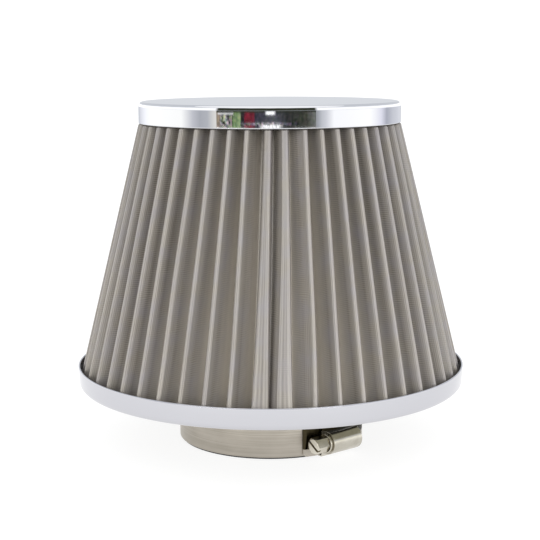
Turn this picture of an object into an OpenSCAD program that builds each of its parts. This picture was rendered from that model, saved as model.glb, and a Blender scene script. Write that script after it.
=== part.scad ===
// Cone air filter with a pleated wire-cloth element, pressed steel ends and a rubber neck
// held on its pipe by a worm-drive clamp.
// The neck's lower rim stands at the origin, +Z runs up the cone's axis and the front faces -Y.
// Angles round the axis are measured from the front towards +X.

/* [Overall] */
// Height from the neck's lower rim to the top of the cap
total_h = 152; // [140:1:200]

/* [Cap] */
// Outer radius of the cap
cap_r = 58; // [52:0.5:62]
// Height of the cap, with its skirt
cap_h = 9.4; // [6:0.2:14]
// Sheet thickness of the cap
cap_t = 0.8; // [0.6:0.1:1.2]
// Outside radius of the cap's pressed edge
cap_edge_r = 2; // [1.4:0.1:3]

/* [Pleats] */
// Number of pleats, with the two wide ones at the seam
pleat_count = 50; // [40:1:52]
// Depth of a pleat, from its crest to its inner fold
pleat_depth = 15; // [12:0.5:18]
// Outside bend radius of a crest
crest_bend_r = 1.15; // [1.1:0.05:1.4]
// Bend radius at the bottom of a valley
valley_bend_r = 0.3; // [0.2:0.05:0.5]
// Thickness of each wire cloth
cloth_t = 0.25; // [0.2:0.01:0.3]
// Thickness of the gauze between the wire cloths
medium_t = 0.44; // [0.3:0.02:0.5]
// Gap between neighbouring layers of the pack
ply_gap = 0.03; // [0.02:0.01:0.05]
// Space between the crests and the inside of the pan's lip
crest_gap = 1.5; // [1:0.1:3]
// Height over which the crests are gathered in under the cap
gather_h = 1.4; // [1:0.1:3]
// Space between the gathered crests and the cap's skirt
gather_gap = 0.3; // [0.2:0.05:0.6]

/* [Pleat seam] */
// Angle of the seam's middle from the front
seam_angle = 0.3; // [-20:0.1:20]
// Angle between the two wide crests
seam_pitch = 6.7; // [6:0.1:8]
// Angle from a wide crest to the next common one
seam_gap = 8.4; // [7.5:0.1:9]
// Half of a wide crest, as an angle
seam_half = 1.45; // [1.2:0.05:1.8]

/* [Support cone] */
// Sheet thickness of the support cone
cone_t = 0.8; // [0.6:0.1:1.2]
// Space between the support cone and the pleats' inner folds
cone_gap = 0.3; // [0.2:0.05:0.8]
// Height of a diamond opening in the support cone
cone_hole_h = 32; // [20:1:34]
// Share of the space between two openings' middles that an opening takes
cone_hole_share = 0.7; // [0.5:0.05:0.8]
// Openings in each row
cone_columns = 12; // [10:1:16]
// Rows of openings
cone_rows = 4; // [3:1:5]
// Height of the middle of the outer rows of openings above and below the cone's ends
cone_border = 19; // [18:0.5:22]

/* [Base pan] */
// Outer radius of the base pan at its lip
pan_r = 87; // [80:0.5:95]
// Height of the pan, from its underside to its lip
pan_h = 9.4; // [8:0.2:14]
// Sheet thickness of the pan
pan_t = 0.8; // [0.6:0.1:1.2]
// Outside radius of the pan's lower corner
pan_corner_r = 2.5; // [1.6:0.1:3.5]
// How much narrower the pan is at its corner than at its lip
pan_draft = 0.3; // [0:0.1:1]
// Space between the pan's hole and the neck
pan_hole_gap = 0.15; // [0.1:0.05:0.5]

/* [Seals] */
// Depth of the base seal in the pan, above the pan's floor
base_seal_h = 4.6; // [3.6:0.2:6]
// How far the base seal covers the neck's flange
flange_cover = 8; // [5:0.5:10]
// Rounding of the base seal's inner edge
seal_edge_r = 0.6; // [0.3:0.1:0.8]
// Gap between a cast seal and the sheet round it
seal_gap = 0.05; // [0.02:0.01:0.1]

/* [Neck] */
// Radius of the neck's bore, for a pipe of 76 mm
bore_r = 38; // [35:0.5:40]
// Wall of the neck
neck_wall = 3; // [2.5:0.1:4]
// Length of the neck below the pan
neck_l = 25.6; // [22:0.2:40]
// Width of the flange, past the neck's wall
flange_w = 11; // [8:0.5:14]
// Thickness of the flange
flange_t = 2.2; // [1.6:0.1:2.8]
// Bevel round the bore's two ends
bore_bevel = 0.8; // [0.4:0.1:1.2]

/* [Clamp band] */
// Angle of the clamp's screw from the front
clamp_angle = 40.5; // [-180:0.5:180]
// Width of the band
band_w = 12.7; // [11:0.1:13]
// Thickness of the band
band_t = 0.65; // [0.5:0.05:0.8]
// Height of the band's lower edge above the neck's rim
band_z = 0.8; // [0.8:0.1:3]
// Gap between the band and the neck
band_gap = 0.05; // [0.02:0.01:0.1]
// Angle that the free end runs, from where it leaves the neck to the screw
tail_lift_angle = 80; // [75:1:90]
// How far the free end's arc stands off its middle
tail_lift = 1.2; // [1.1:0.05:1.5]
// Angle that the free end runs past the screw's middle
tail_angle = 25; // [20:1:30]
// Angle that the fixed end runs past the screw's middle
fixed_end_angle = 8; // [6:1:9]
// Angle from the tip of the free end to its first slot
slot_start = 4.5; // [4:0.5:8]
// How much of each corner is cut off the free end
tip_bevel = 2.1; // [1:0.1:3]
// Angle between two slots of the band
slot_pitch = 2.8; // [2.6:0.1:3.6]
// Width of a slot
slot_w = 1.1; // [0.9:0.1:1.3]
// Length of a slot across the band
slot_l = 6; // [5:0.2:8]
// Slant of the slots
slot_slant = 7; // [4:1:10]

/* [Clamp screw] */
// Radius of the screw's core, between its threads
core_r = 3.6; // [3.4:0.1:3.8]
// Radius of the screw's journals
journal_r = 2.9; // [2.4:0.1:3]
// Radial running clearance of the journals
journal_gap = 0.05; // [0.03:0.01:0.09]
// Gap between the screw's shoulders and the housing's end walls
shoulder_gap = 0.1; // [0.05:0.05:0.2]
// Gap between the screw's core and the band's free end
core_gap = 0.3; // [0.25:0.05:0.5]
// How far the collar behind the head stands out past the core
collar_step = 0.6; // [0.4:0.05:0.7]
// Thickness of the collar
collar_t = 1.2; // [0.8:0.1:1.6]
// Width of the hexagon head across its flats
head_af = 6.4; // [6:0.1:7.2]
// Length of the hexagon head
head_l = 6.6; // [4:0.2:8]
// Turn of the head about the screw's axis
head_turn = 4; // [0:1:60]
// Width of the screwdriver slot
drive_slot_w = 1.1; // [0.8:0.1:1.4]
// Depth of the screwdriver slot
drive_slot_depth = 1.8; // [1:0.1:2.5]

/* [Clamp housing] */
// Length of the housing
housing_l = 16.4; // [13:0.2:18]
// Length of the housing's legs, from its end beside the head
leg_l = 12; // [9:0.5:13]
// Outer radius of the housing's half barrel
barrel_r = 5.1; // [4.9:0.1:5.6]
// Sheet thickness of the housing
housing_t = 0.6; // [0.5:0.05:0.6]
// Gap between the housing's legs and both the band's edges and the neck
leg_gap = 0.05; // [0.03:0.01:0.1]
// Thickness of the housing's end walls
end_wall_t = 1; // [0.8:0.1:1.4]

/* [Hidden] */
$fn = 144;
// Overlap of two shapes that are joined
eps = 0.01;
// How far a cut runs past the face that it opens
cut = 1;

// Cap and the level where the pleats end
cap_z = total_h - cap_h;
cap_in_r = cap_r - cap_t;
gather_z = cap_z - gather_h;

// Base pan
pan_z = neck_l;
floor_z = pan_z + pan_t;
lip_z = pan_z + pan_h;
seal_z = floor_z + base_seal_h;

// Crest lines of the pleats, from the pan's lip to the cap's lower edge
lip_crest_r = pan_r - pan_t - crest_gap;
crest_slope = (lip_crest_r - cap_r) / (cap_z - lip_z);
pack_t = 2 * cloth_t + medium_t + 2 * ply_gap;
pleat_pitch = (360 - seam_pitch - 2 * seam_gap) / (pleat_count - 3);
PLEAT_LEVELS = [
    [seal_z, crest_r_at(seal_z)],
    [gather_z, crest_r_at(gather_z)],
    [cap_z, cap_in_r - gather_gap],
];

// Support cone, as outer radii at the base seal and at the cap seal
cone_base_r = crest_r_at(seal_z) - pleat_depth - cone_gap;
cone_top_r = cap_in_r - gather_gap - pleat_depth - cone_gap;
cone_l = cap_z - seal_z;
cone_lean = atan((cone_base_r - cone_top_r) / cone_l);

// Neck
neck_r = bore_r + neck_wall;
flange_r = neck_r + flange_w;

// Band: the wrapped turn, and the free end on an arc of its own that meets the turn at its start
band_mid_z = band_z + band_w / 2;
band_r = neck_r + band_gap;
tail_arc_r = band_r + tail_lift;
tail_top = tail_arc_r + band_t - tail_lift * cos(tail_lift_angle);
slot_count = floor((tail_lift_angle + tail_angle - 2 * slot_start) / slot_pitch);

// Screw: its axis is square to the radius at clamp_angle
screw_r = tail_top + core_gap + core_r;
collar_r = core_r + collar_step;
wall_x = housing_l / 2 - end_wall_t;
deck_r = tail_top + core_gap;

// Points along an arc, from angle a0 to angle a1
function arc(centre, r, a0, a1, steps = 8) =
    [for (i = [0:steps]) let (a = a0 + (a1 - a0) * i / steps) centre + r * [cos(a), sin(a)]];

// Outer radius of the crests at a height, along their straight lines
function crest_r_at(z) = lip_crest_r + crest_slope * (lip_z - z);

// Outer radius of the pan's wall at a height
function pan_r_at(z) = pan_r - pan_draft * (lip_z - z) / (pan_h - pan_corner_r);

// Angle of a crest, counted from the seam's first wide one
function crest_angle(i) =
    seam_angle
    + (i == 0 ? -seam_pitch / 2
        : i == 1 ? seam_pitch / 2
        : i < pleat_count ? seam_pitch / 2 + seam_gap + (i - 2) * pleat_pitch
        : 360 - seam_pitch / 2);

// Point at a radius and sideways step from the direction of an angle
function polar_point(angle, r, side) =
    [r * sin(angle) + side * cos(angle), -r * cos(angle) + side * sin(angle)];

// One pleat's six points at crest radius rc, t deep into the pack: four round the crest, two in the valley
function pleat_points(i, rc, t) =
    let (
        half_flat = i < 2 ? rc * tan(seam_half) - crest_bend_r : 0,
        crest_centre = rc - crest_bend_r,
        bend = crest_bend_r - t,
        valley_centre = rc - pleat_depth + pack_t + valley_bend_r,
        fold = valley_bend_r + t,
        valley = (crest_angle(i) + crest_angle(i + 1)) / 2
    )
    concat(
        [for (a = [-90, -35, 35, 90])
            polar_point(crest_angle(i), crest_centre + bend * cos(a), bend * sin(a) + sign(a) * half_flat)],
        [for (s = [-1, 1])
            polar_point(valley, valley_centre - fold * cos(45), s * fold * sin(45))]
    );

// All points round the pack at one level and depth
function pleat_ring(level, t) =
    [for (i = [0:pleat_count - 1]) for (p = pleat_points(i, level[1], t)) [p[0], p[1], level[0]]];

// A layer of the pleated pack between two depths
module pleat_layer(t_out, t_in) {
    ring = 6 * pleat_count;
    last = len(PLEAT_LEVELS) - 1;
    points = [for (level = PLEAT_LEVELS) for (t = [t_out, t_in]) for (p = pleat_ring(level, t)) p];
    outside = [for (k = [0:last - 1]) for (j = [0:ring - 1])
        let (a = 2 * k * ring + j, b = 2 * k * ring + (j + 1) % ring, d = a + 2 * ring, c = b + 2 * ring)
        for (face = [[a, d, c], [a, c, b]]) face];
    inside = [for (f = outside) [f[0] + ring, f[2] + ring, f[1] + ring]];
    ends = [for (end = [[0, 1], [last, -1]]) for (j = [0:ring - 1])
        let (a = 2 * end[0] * ring + j, b = 2 * end[0] * ring + (j + 1) % ring)
        for (face = [[a, b, b + ring], [a, b + ring, a + ring]])
            end[1] > 0 ? face : [face[0], face[2], face[1]]];
    polyhedron(points = points, faces = concat(outside, inside, ends));
}

// Half section of the pressed cap
function cap_section() =
    concat(
        [[0, total_h]],
        arc([cap_r - cap_edge_r, total_h - cap_edge_r], cap_edge_r, 90, 0),
        [[cap_r, cap_z], [cap_in_r, cap_z]],
        arc([cap_r - cap_edge_r, total_h - cap_edge_r], cap_edge_r - cap_t, 0, 90),
        [[0, total_h - cap_t]]
    );

// Pressed steel cap
module cap() {
    color("gainsboro") rotate_extrude() polygon(cap_section());
}

// Cast disc that bonds the pleats' top ends into the cap
module cap_seal() {
    r = cap_in_r - seal_gap;
    edge = cap_edge_r - cap_t;
    top = total_h - cap_t - seal_gap;
    color("dimgray") rotate_extrude()
        polygon(concat([[0, cap_z], [r, cap_z]], arc([r - edge, top - edge], edge, 0, 90, 4), [[0, top]]));
}

// Outermost pleated wire cloth
module outer_wire_cloth() {
    color("darkgray") pleat_layer(0, cloth_t);
}

// Pleated gauze between the wire cloths
module filter_medium() {
    color("lightgray") pleat_layer(cloth_t + ply_gap, cloth_t + ply_gap + medium_t);
}

// Innermost pleated wire cloth
module inner_wire_cloth() {
    color("darkgray") pleat_layer(pack_t - cloth_t, pack_t);
}

// Radius of the support cone's outside at a height above its lower end
function cone_r_at(up) = cone_base_r + (cone_top_r - cone_base_r) * up / cone_l;

// Steel cone inside the pleats, with staggered rows of diamond openings
module support_cone() {
    color("silver") difference() {
        rotate_extrude()
            polygon([
                [cone_base_r - cone_t, seal_z], [cone_base_r, seal_z],
                [cone_top_r, cap_z], [cone_top_r - cone_t, cap_z],
            ]);
        for (row = [0:cone_rows - 1], column = [0:cone_columns - 1]) {
            up = cone_border + row * (cone_l - 2 * cone_border) / (cone_rows - 1);
            r = cone_r_at(up);
            half_w = cone_hole_share * PI * r / cone_columns;
            // The cone falls away from its tangent plane by this much at an opening's side corners
            dip = half_w * half_w / (2 * r);
            rotate([0, 0, 360 / cone_columns * (column + (row % 2) / 2)])
                translate([r - cone_t / 2, 0, seal_z + up]) rotate([0, 90 - cone_lean, 0])
                    linear_extrude(height = cone_t + 2 * (cut + dip), center = true)
                        polygon([[-cone_hole_h / 2, 0], [0, -half_w], [cone_hole_h / 2, 0], [0, half_w]]);
        }
    }
}

// Pressed steel pan that holds the pleats' lower ends
module base_pan() {
    corner_r = pan_r_at(pan_z + pan_corner_r);
    corner = [corner_r - pan_corner_r, pan_z + pan_corner_r];
    color("gainsboro") rotate_extrude()
        polygon(concat(
            [[neck_r + pan_hole_gap, pan_z]],
            arc(corner, pan_corner_r, -90, 0),
            arc([pan_r - pan_t / 2, lip_z - pan_t / 2], pan_t / 2, 0, 180, 6),
            arc(corner, pan_corner_r - pan_t, 0, -90),
            [[neck_r + pan_hole_gap, floor_z]]
        ));
}

// Cast ring that bonds the pleats' lower ends and the neck's flange into the pan
module base_seal() {
    outer = pan_r_at(seal_z) - pan_t - seal_gap;
    corner_r = pan_corner_r - pan_t;
    corner_x = pan_r_at(pan_z + pan_corner_r) - pan_corner_r - seal_gap;
    inner = flange_r - flange_cover;
    color("dimgray") rotate_extrude()
        polygon(concat(
            [[inner, floor_z + flange_t], [flange_r + seal_gap, floor_z + flange_t]],
            [[flange_r + seal_gap, floor_z]],
            arc([corner_x, floor_z + corner_r], corner_r, -90, 0, 4),
            [[outer, seal_z]],
            arc([inner + seal_edge_r, seal_z - seal_edge_r], seal_edge_r, 90, 180, 4)
        ));
}

// Moulded rubber neck with its flange on the pan's floor
module neck() {
    top = floor_z + flange_t;
    color("#262626") rotate_extrude()
        polygon([
            [bore_r + bore_bevel, 0], [neck_r - bore_bevel / 2, 0], [neck_r, bore_bevel / 2],
            [neck_r, floor_z], [flange_r, floor_z], [flange_r, top],
            [bore_r + bore_bevel, top], [bore_r, top - bore_bevel], [bore_r, bore_bevel],
        ]);
}

// Turns its children from the front to an angle round the axis
module at_angle(a) {
    rotate([0, 0, a]) children();
}

// Part of a band round the Z axis, from angle a0 to angle a1, drawn in by inset on every side
module band_arc(r, a0, a1, inset = 0) {
    rotate([0, 0, a0 - 90]) rotate_extrude(angle = a1 - a0)
        translate([r + inset, band_z + inset]) square([band_t - 2 * inset, band_w - 2 * inset]);
}

// Free end of the band with its slots, on an arc that lifts off the turn below
module band_tail() {
    centre = -tail_lift * [sin(tail_lift_angle), -cos(tail_lift_angle)];
    translate([centre[0], centre[1], 0]) difference() {
        band_arc(tail_arc_r, -tail_angle, tail_lift_angle + 1, eps);
        for (i = [0:slot_count - 1])
            at_angle(slot_start - tail_angle + i * slot_pitch)
                translate([0, -tail_arc_r - band_t / 2, band_mid_z]) rotate([0, slot_slant, 0])
                    cube([slot_w, band_t + 2 * cut, slot_l], center = true);
        for (s = [-1, 1])
            at_angle(-tail_angle) translate([0, -tail_arc_r - band_t / 2, band_mid_z + s * band_w / 2])
                rotate([0, 45, 0])
                    cube([tip_bevel * sqrt(2), band_t + 2 * cut, tip_bevel * sqrt(2)], center = true);
    }
}

// Stainless band: one turn round the neck and its slotted free end
module clamp_band() {
    color("silver") at_angle(clamp_angle) {
        band_arc(band_r, tail_lift_angle - 360, fixed_end_angle);
        band_tail();
    }
}

// Section of the housing's half barrel, square to the screw: x runs outwards and y along the filter's axis
module barrel_section() {
    difference() {
        union() {
            translate([screw_r, 0]) circle(r = barrel_r);
            translate([deck_r, -barrel_r]) square([screw_r - deck_r, 2 * barrel_r]);
        }
        translate([screw_r, 0]) circle(r = barrel_r - housing_t);
        translate([screw_r - barrel_r - cut, housing_t - barrel_r])
            square([barrel_r + cut, 2 * (barrel_r - housing_t)]);
    }
}

// Section of the two legs, which stand out from the barrel's feet and fold over the band's edges
module leg_section() {
    leg_y = band_w / 2 + leg_gap;
    leg_in = neck_r + leg_gap;
    foot_y = barrel_r - housing_t;
    for (side = [0, 1]) mirror([0, side]) {
        translate([deck_r, foot_y]) square([housing_t, leg_y + housing_t - foot_y]);
        translate([leg_in, leg_y]) square([deck_r + housing_t - leg_in, housing_t]);
    }
}

// End wall of the housing, with the bearing hole of the screw
module housing_wall() {
    difference() {
        union() {
            translate([screw_r, 0]) circle(r = barrel_r - housing_t / 2);
            translate([deck_r, housing_t / 2 - barrel_r])
                square([screw_r - deck_r, 2 * barrel_r - housing_t]);
        }
        translate([0, -barrel_r]) square([deck_r, 2 * barrel_r]);
        translate([screw_r, 0]) circle(r = journal_r + journal_gap);
    }
}

// Places a section at the screw, with its length along the screw's axis
module along_screw(x, length) {
    translate([x, 0, band_mid_z]) rotate([0, 90, 0]) rotate([0, 0, -90]) mirror([0, 1, 0])
        linear_extrude(height = length) children();
}

// Folded housing of the worm screw
module clamp_housing() {
    color("silver") at_angle(clamp_angle) {
        along_screw(-housing_l / 2, housing_l) barrel_section();
        along_screw(-housing_l / 2, leg_l) leg_section();
        along_screw(-housing_l / 2, end_wall_t) housing_wall();
        along_screw(wall_x, end_wall_t) housing_wall();
    }
}

// Cylinder on the screw's axis, from x0 to x1
module on_screw(x0, x1, r, sides = $fn) {
    translate([x0, -screw_r, band_mid_z]) rotate([0, 90, 0]) cylinder(r = r, h = x1 - x0, $fn = sides);
}

// Worm screw with its journals, collar and slotted hexagon head
module clamp_screw() {
    collar_x = -housing_l / 2 - shoulder_gap;
    head_x = collar_x - collar_t;
    core_x = wall_x - shoulder_gap;
    color("lightgray") at_angle(clamp_angle) difference() {
        union() {
            on_screw(-core_x, core_x, core_r);
            on_screw(head_x, housing_l / 2 + shoulder_gap, journal_r);
            on_screw(head_x, collar_x, collar_r);
            translate([head_x - head_l, -screw_r, band_mid_z]) rotate([head_turn, 0, 0]) rotate([0, 90, 0])
                cylinder(d = head_af / cos(30), h = head_l + eps, $fn = 6);
        }
        // The slot runs from corner to corner of the hexagon
        translate([head_x - head_l - cut, -screw_r, band_mid_z]) rotate([head_turn + 30, 0, 0])
            translate([0, -head_af, -drive_slot_w / 2])
                cube([drive_slot_depth + cut, 2 * head_af, drive_slot_w]);
    }
}

cap();
cap_seal();
outer_wire_cloth();
filter_medium();
inner_wire_cloth();
support_cone();
base_pan();
base_seal();
neck();
clamp_band();
clamp_housing();
clamp_screw();
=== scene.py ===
"""Looks of a cone air filter with a pleated wire-cloth element, built round its fixed solid frame.

Lengths in the classes are millimetres, as on a maker's drawing, and every mesh is in metres.
+Z runs up the cone's axis and the front faces -Y.
Angles round the axis start at the front and run towards +X.
"""

import logging
import math
from collections.abc import Sequence
from dataclasses import dataclass, field
from enum import Enum

import bmesh
import bpy
import numpy as np
import numpy.typing as npt
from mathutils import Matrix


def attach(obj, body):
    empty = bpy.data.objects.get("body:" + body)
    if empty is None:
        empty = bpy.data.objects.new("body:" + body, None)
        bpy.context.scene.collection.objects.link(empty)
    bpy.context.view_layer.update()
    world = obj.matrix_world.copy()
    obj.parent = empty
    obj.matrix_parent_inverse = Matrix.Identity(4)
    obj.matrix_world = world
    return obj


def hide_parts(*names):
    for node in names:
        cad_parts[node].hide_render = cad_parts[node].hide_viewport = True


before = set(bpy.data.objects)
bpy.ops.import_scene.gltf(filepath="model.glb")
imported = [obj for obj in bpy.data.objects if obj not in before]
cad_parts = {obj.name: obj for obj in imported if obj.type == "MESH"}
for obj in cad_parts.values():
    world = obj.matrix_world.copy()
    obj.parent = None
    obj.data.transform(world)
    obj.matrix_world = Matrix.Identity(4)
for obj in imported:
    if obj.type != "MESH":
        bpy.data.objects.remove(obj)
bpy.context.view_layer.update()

MM = 0.001
TURN = 2 * math.pi
MERGE_M = 1e-7
FILTER = "filter"
SCREW = "screw"

Array = npt.NDArray[np.float64]
Faces = npt.NDArray[np.int64]
Piece = bpy.types.Object
Tree = bpy.types.NodeTree
Socket = bpy.types.NodeSocket

log = logging.getLogger("cone_filter")


def linear(hex_colour: str) -> tuple[float, float, float, float]:
    """Turns an sRGB hex colour into linear light.

    Args:
        hex_colour: six hex digits after a hash.

    Returns:
        Linear red, green, blue and an alpha of 1.
    """
    low, slope, offset, power = 0.04045, 12.92, 0.055, 2.4
    values = [int(hex_colour[i : i + 2], 16) / 255 for i in (1, 3, 5)]
    red, green, blue = (v / slope if v <= low else ((v + offset) / (1 + offset)) ** power for v in values)
    return (red, green, blue, 1.0)


# Node trees


def add(
    tree: Tree,
    kind: str,
    inputs: dict[str | int, object] | None = None,
    stops: Sequence[tuple[float, str | float]] = (),
    out: str | int = 0,
    **settings: object,
) -> Socket | None:
    """Adds one node to a tree.

    Args:
        tree: the tree that gets the node.
        kind: the node's type, without the prefix that all share.
        inputs: input name or number, with a value to set or a socket to link.
        stops: a ramp's places from 0 to 1, each with a hex colour or a grey.
        out: name or number of the output that is wanted.
        **settings: properties of the node itself.

    Returns:
        The output, or none from a node that ends a tree.
    """
    node = tree.nodes.new("ShaderNode" + kind)
    for name, value in settings.items():
        setattr(node, name, value)
    for key, value in (inputs or {}).items():
        if isinstance(value, Socket):
            tree.links.new(value, node.inputs[key])
        else:
            node.inputs[key].default_value = value
    for number, (place, shade) in enumerate(stops):
        elements = node.color_ramp.elements
        element = elements[number] if number < 2 else elements.new(place)
        element.position = place
        element.color = linear(shade) if isinstance(shade, str) else (shade, shade, shade, 1.0)
    return node.outputs[out] if len(node.outputs) else None


def grain(tree: Tree, size_mm: Sequence[float], detail: float, place: Socket | None = None) -> Socket:
    """Noise whose grains have a real size along each axis.

    Args:
        tree: the tree that gets the nodes.
        size_mm: length of a grain along X, Y and Z.
        detail: octaves of the noise.
        place: coordinates in metres, or none for the object's own.

    Returns:
        The noise's 0 to 1 output.
    """
    if place is None:
        place = add(tree, "TexCoord", out="Object")
    per_metre = tuple(1 / (size * MM) for size in size_mm)
    moved = add(tree, "Mapping", {"Vector": place, "Scale": per_metre})
    return add(tree, "TexNoise", {"Vector": moved, "Scale": 1.0, "Detail": detail})


# Finishes


class Lay(Enum):
    """Which way the grain of a worked metal surface runs."""

    AROUND = (60.0, 60.0, 0.35)
    SPUN = (9.0, 9.0, 9.0)


@dataclass(frozen=True)
class Finish:
    """A surface as the eye meets it. Each kind of finish says what its shader is."""

    def shader(self, tree: Tree) -> Socket:
        """Builds the finish's nodes and returns the last one's output."""
        raise NotImplementedError

    def material(self, name: str) -> bpy.types.Material:
        """Builds the finish under a name.

        Args:
            name: the material's name.

        Returns:
            The material.
        """
        material = bpy.data.materials.new(name)
        material.use_nodes = True
        tree = material.node_tree
        tree.nodes.clear()
        add(tree, "OutputMaterial", {"Surface": self.shader(tree)})
        return material


@dataclass(frozen=True)
class ChromePlate(Finish):
    """Chromium plate on polished steel: a cool mirror, with long soft polishing waves and faint haze."""

    tint: str = "#D6D7DB"
    roughness: tuple[float, float] = (0.012, 0.035)
    wave_mm: float = 30.0
    wave_depth_mm: float = 0.006

    def shader(self, tree: Tree) -> Socket:
        """A mirror bent by long waves, whose gloss varies with the haze.

        Args:
            tree: the tree that gets the nodes.

        Returns:
            The shader's output.
        """
        waves = grain(tree, (self.wave_mm,) * 3, 1.0)
        haze = grain(tree, (self.wave_mm / 3, self.wave_mm / 3, self.wave_mm / 12), 3.0)
        low, high = self.roughness
        relief = {"Height": waves, "Distance": self.wave_depth_mm * MM, "Strength": 1.0}
        return add(tree, "BsdfPrincipled", {
            "Base Color": linear(self.tint),
            "Metallic": 1.0,
            "Roughness": add(tree, "MapRange", {"Value": haze, "To Min": low, "To Max": high}),
            "Normal": add(tree, "Bump", relief),
        })


@dataclass(frozen=True)
class WireCloth(Finish):
    """Woven stainless wire, dull from its weave: warm grey with fine crossing lines and soft vertical rubs.

    The real mesh is about 0.5 mm. It is drawn at weft_mm and warp_mm, because a finer line is lost at this
    distance. Each set of lines comes and goes in patches, as it does where light catches one set of wires.
    By its depth in the fold the cloth is mixed towards a pale tone: a painted highlight on each crest's apex
    and painted light in the valleys, where shade falls.
    """

    wire: str = "#9C968D"
    mesh: str = "#706A64"
    cool: str = "#868389"
    # folded is the pale tone of the painted light, and closing its share by depth in the fold: a painted
    # highlight at each crest's apex, a lighter band beside it, least mid-flank, and strong painted light in
    # the valleys.
    folded: str = "#F2EDE4"
    depth_painted_light: tuple[tuple[float, float], ...] = (
        (0.0, 0.18), (0.006, 0.13), (0.024, 0.06), (0.08, 0.14),
        (0.15, 0.11), (0.28, 0.04), (0.7, 0.66), (1.0, 0.7),
    )
    weft_mm: float = 0.85
    warp_mm: float = 0.8
    rub_mm: tuple[float, float] = (1.8, 70.0)
    rub_share: float = 0.6
    patch_mm: float = 16.0
    patch_span: tuple[float, float] = (-1.6, 1.2)
    cool_span: tuple[float, float] = (-0.9, 1.3)
    weft_in_fold: float = 4.0
    depth_mm: float = 0.035
    roughness: float = 0.32
    metallic: float = 0.4

    def lines(self, tree: Tree, along: Socket, wander: Socket, pitch_mm: float, pitches: float) -> Socket:
        """Fine lines: half plus half the sine of a length that wanders by noise, turned once a pitch.

        Args:
            tree: the tree that gets the nodes.
            along: length across the lines, in metres.
            wander: 0 to 1 noise that bends them.
            pitch_mm: distance from line to line.
            pitches: how many pitches a line wanders by.

        Returns:
            The lines' height, from 0 to 1.
        """
        reach = pitches * pitch_mm * MM
        bent = add(tree, "Math", {0: wander, 1: reach, 2: along}, operation="MULTIPLY_ADD")
        turned = add(tree, "Math", {0: bent, 1: TURN / MM / pitch_mm}, operation="MULTIPLY")
        wave = add(tree, "Math", {0: turned}, operation="SINE")
        return add(tree, "Math", {0: wave, 1: 0.5, 2: 0.5}, operation="MULTIPLY_ADD")

    def shader(self, tree: Tree) -> Socket:
        """Weft in the folds and warp on the crests, rubbed, cooled in patches, and lightened by painted light
        that follows the depth in the fold.

        It reads the piece's own map, in metres along the cloth.

        Args:
            tree: the tree that gets the nodes.

        Returns:
            The shader's output.
        """
        place = add(tree, "UVMap", uv_map="cloth")
        parts = add(tree, "SeparateXYZ", {0: place}).node.outputs
        patch = grain(tree, (self.patch_mm,) * 3, 3.0, place)
        wander = grain(tree, (self.patch_mm / 1.7,) * 3, 2.0, place)
        weft = self.lines(tree, parts[1], wander, self.weft_mm, 2.0)
        warp = self.lines(tree, parts[0], wander, self.warp_mm, 0.4)
        depth = add(tree, "Attribute", out="Fac", attribute_name="fold")
        low, high = self.patch_span
        patchy = add(tree, "MapRange", {"Value": patch, "To Min": low, "To Max": high})
        folded = {0: depth, 1: self.weft_in_fold, 2: patchy}
        level = add(tree, "Math", folded, operation="MULTIPLY_ADD", use_clamp=True)
        woven = add(tree, "Mix", {0: level, 2: warp, 3: weft})
        rubs = grain(tree, (*self.rub_mm, self.patch_mm), 4.0, place)
        mixed = add(tree, "Mix", {0: self.rub_share, 2: woven, 3: rubs})
        base = add(tree, "ValToRGB", {0: mixed}, ((0.25, self.mesh), (0.75, self.wire)))
        low, high = self.cool_span
        chill = add(tree, "MapRange", {"Value": wander, "To Min": low, "To Max": high})
        cooled = add(tree, "Mix", {0: chill, 6: base, 7: linear(self.cool)}, out=2, data_type="RGBA")
        # Painted light by depth in the fold: a highlight at the crests, light in the valleys.
        depth_painted_light = add(tree, "ValToRGB", {0: depth}, self.depth_painted_light)
        closed = add(tree, "Mix", {0: depth_painted_light, 6: cooled, 7: linear(self.folded)}, out=2, data_type="RGBA")
        return add(tree, "BsdfPrincipled", {
            "Base Color": closed,
            "Metallic": self.metallic,
            "Roughness": self.roughness,
            "Normal": add(tree, "Bump", {"Height": woven, "Distance": self.depth_mm * MM, "Strength": 0.5}),
        })


@dataclass(frozen=True)
class CottonGauze(Finish):
    """Oiled cotton gauze: soft off-white threads, with no shine."""

    thread: str = "#CFC9BC"
    gap: str = "#8C877B"
    thread_mm: float = 0.9
    depth_mm: float = 0.1
    roughness: float = 0.95

    def shader(self, tree: Tree) -> Socket:
        """Threads over dark gaps.

        Args:
            tree: the tree that gets the nodes.

        Returns:
            The shader's output.
        """
        threads = grain(tree, (self.thread_mm, self.thread_mm, self.thread_mm / 2), 3.0)
        return add(tree, "BsdfPrincipled", {
            "Base Color": add(tree, "ValToRGB", {0: threads}, ((0.3, self.gap), (0.65, self.thread))),
            "Roughness": self.roughness,
            "Normal": add(tree, "Bump", {"Height": threads, "Distance": self.depth_mm * MM, "Strength": 1.0}),
        })


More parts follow.
